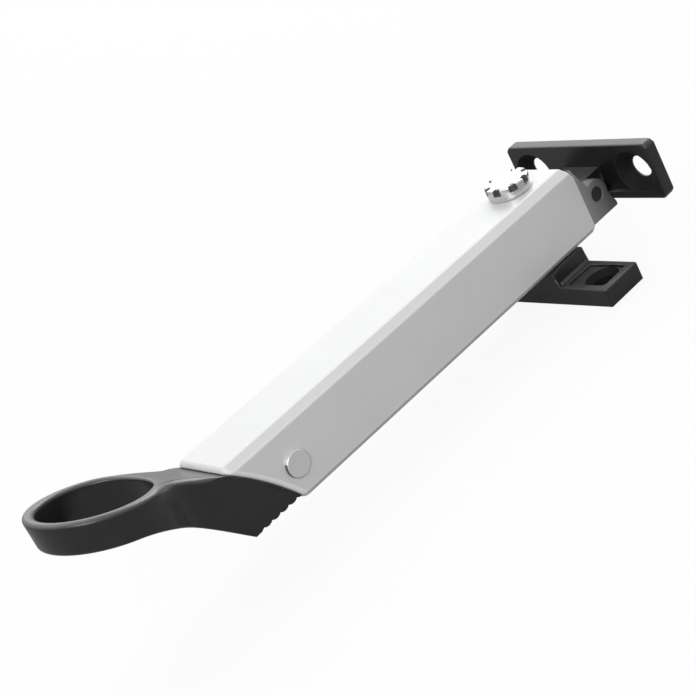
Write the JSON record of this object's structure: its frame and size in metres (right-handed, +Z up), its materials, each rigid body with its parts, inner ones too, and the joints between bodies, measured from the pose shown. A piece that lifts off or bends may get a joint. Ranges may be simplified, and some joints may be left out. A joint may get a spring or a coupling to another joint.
{
  "type": "window stay",
  "caption": "Push-out window stay: sliding aluminium tube with a finger ring, hinged to a sash plate and pivoted on a sill bracket, with a lock screw.",
  "frame": {"origin": "centre of the sill bracket's underside, midway between its two screw holes", "axes": "+Y along the tube, outwards from the finger ring to the sash plate; +X to the right across the stay; +Z up, away from the sill"},
  "size_m": [0.0402, 0.145, 0.0364],
  "materials": {
    "black_nylon": "satin moulded, fine texture",
    "mill_aluminium": "satin anodised extrusion",
    "rivet_aluminium": "plain set rivet",
    "bright_metal": "bright nickel plate",
    "steel_pin": "ground pin",
    "spring_steel": "tempered strip",
    "brass": "turned",
    "shoe_nylon": "natural nylon"
  },
  "bodies": {
    "sill": {"sill_bracket": "black_nylon", "pivot_pin": "steel_pin"},
    "shoe": {"slider_shoe": "shoe_nylon", "spring_right": "spring_steel", "spring_left": "spring_steel"},
    "stay": {"tube": "mill_aluminium", "ring_handle": "black_nylon", "handle_rivet": "rivet_aluminium", "end_nose": "black_nylon", "thread_insert": "brass", "hinge_pin": "steel_pin"},
    "plate": {"sash_plate": "black_nylon"},
    "washer": {"lock_washer": "bright_metal"},
    "screw": {"lock_screw": "bright_metal"}
  },
  "joints": [
    {"name": "stay_tilt", "type": "hinge", "parent": "sill", "child": "shoe", "pos_m": [0, 0, 0.014], "axis": [1, 0, 0], "range_deg": [-1, 6]},
    {"name": "stay_slide", "type": "slide", "parent": "shoe", "child": "stay", "axis": [0, 1, 0], "range_m": [0, 0.06]},
    {"name": "sash_hinge", "type": "hinge", "parent": "stay", "child": "plate", "pos_m": [0, 0.0136, 0.0142], "axis": [1, 0, 0], "range_deg": [0, 40]},
    {"name": "lock_lift", "type": "slide", "parent": "stay", "child": "washer", "axis": [0, 0, 1], "range_m": [0, 0.0014]},
    {"name": "lock_turn", "type": "hinge", "parent": "washer", "child": "screw", "pos_m": [0, 0, 0.0237], "axis": [0, 0, 1], "range_deg": [0, 720]}
  ],
  "couplings": [
    {"joint": "lock_turn", "follows": "lock_lift", "rad_per_m": 8976}
  ]
}
